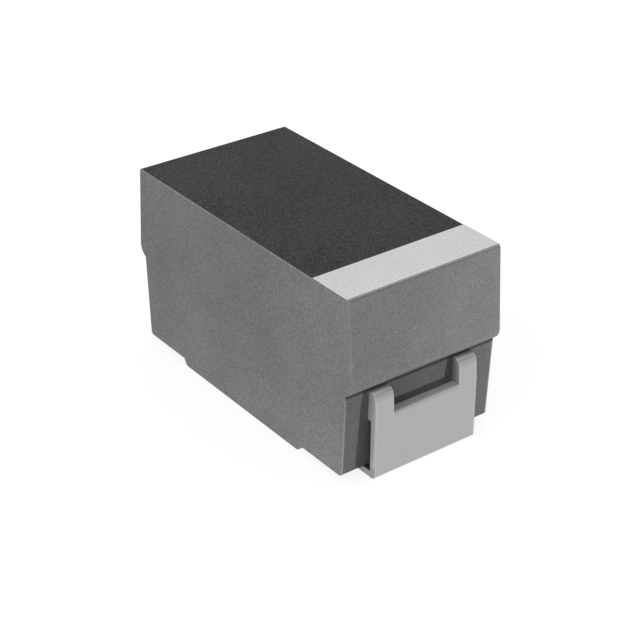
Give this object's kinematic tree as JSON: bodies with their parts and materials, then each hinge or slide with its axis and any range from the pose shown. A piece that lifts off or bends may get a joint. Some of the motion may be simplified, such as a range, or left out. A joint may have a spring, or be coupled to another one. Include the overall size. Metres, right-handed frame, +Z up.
{
  "type": "moulded tantalum chip capacitor",
  "caption": "Surface-mount moulded tantalum capacitor: stepped epoxy block, forked strip terminal folded under each end, light polarity band on top.",
  "frame": {"origin": "centre of the component's outline on its standing plane, level with the undersides of both terminals", "axes": "+X from the cathode end towards the banded anode end, +Y across the body, +Z up from the board to the top face"},
  "size_m": [0.0032, 0.0016, 0.0018],
  "materials": {
    "moulded_epoxy": "fine-grained matte moulded epoxy, darker on the printed top",
    "band_print": "matte light grey marking ink",
    "tinned_strip": "matte tin plating over nickel-iron strip",
    "sintered_tantalum": "porous sintered tantalum powder",
    "tantalum_wire": "drawn tantalum wire",
    "washer_plastic": "plain white fluoroplastic washer",
    "manganese_dioxide": "black pyrolytic manganese dioxide",
    "graphite": "dull carbon coat",
    "silver_paint": "matte silver-filled coat",
    "silver_paste": "cured silver-filled adhesive"
  },
  "bodies": {
    "root": {"moulded_case": "moulded_epoxy", "polarity_band": "band_print", "anode_terminal": "tinned_strip", "cathode_terminal": "tinned_strip", "tantalum_pellet": "sintered_tantalum", "riser_wire": "tantalum_wire", "wire_washer": "washer_plastic", "manganese_dioxide_layer": "manganese_dioxide", "graphite_layer": "graphite", "silver_layer": "silver_paint", "silver_adhesive": "silver_paste"}
  },
  "joints": []
}
